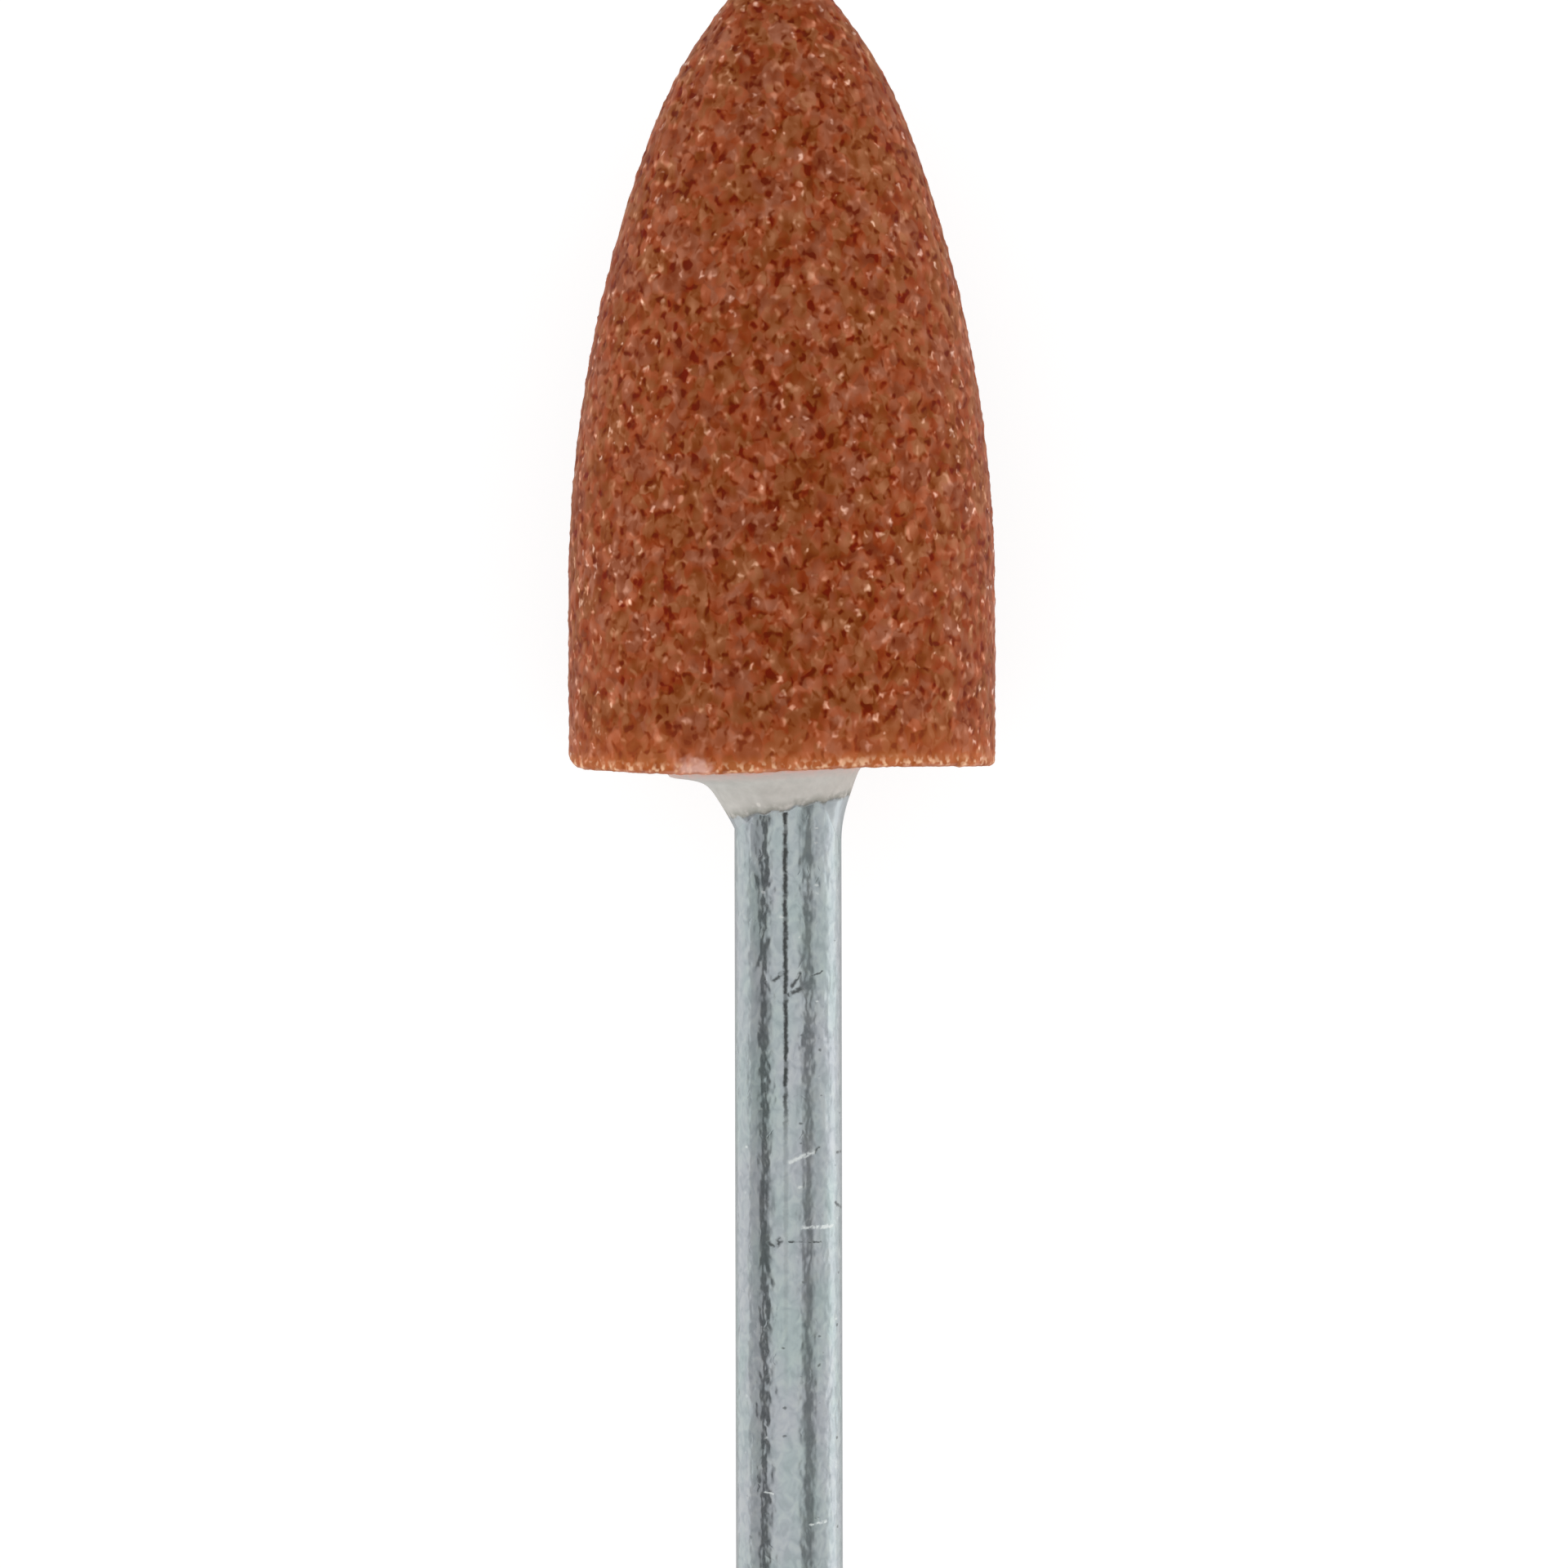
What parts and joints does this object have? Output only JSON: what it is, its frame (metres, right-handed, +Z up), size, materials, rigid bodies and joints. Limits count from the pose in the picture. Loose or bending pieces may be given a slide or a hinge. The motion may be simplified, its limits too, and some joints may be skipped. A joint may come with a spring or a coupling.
{
  "type": "mounted point",
  "caption": "Pointed ogive grinding stone with a short parallel back, cemented on a plain round steel shank for a small rotary tool.",
  "frame": {"origin": "on the ground, under the middle of the whole length, with the point lying on the back of its stone", "axes": "+Y along the shank's axis towards the tip, -Y towards the shank's free end, +Z up"},
  "size_m": [0.0126, 0.0562, 0.0126],
  "materials": {
    "stone": "coarse matte abrasive grain",
    "cement": "matte, wiped smooth",
    "shank": "drawn and plated, fine lengthwise lines"
  },
  "bodies": {
    "root": {"stone": "stone", "cement": "cement", "shank": "shank"}
  },
  "joints": []
}
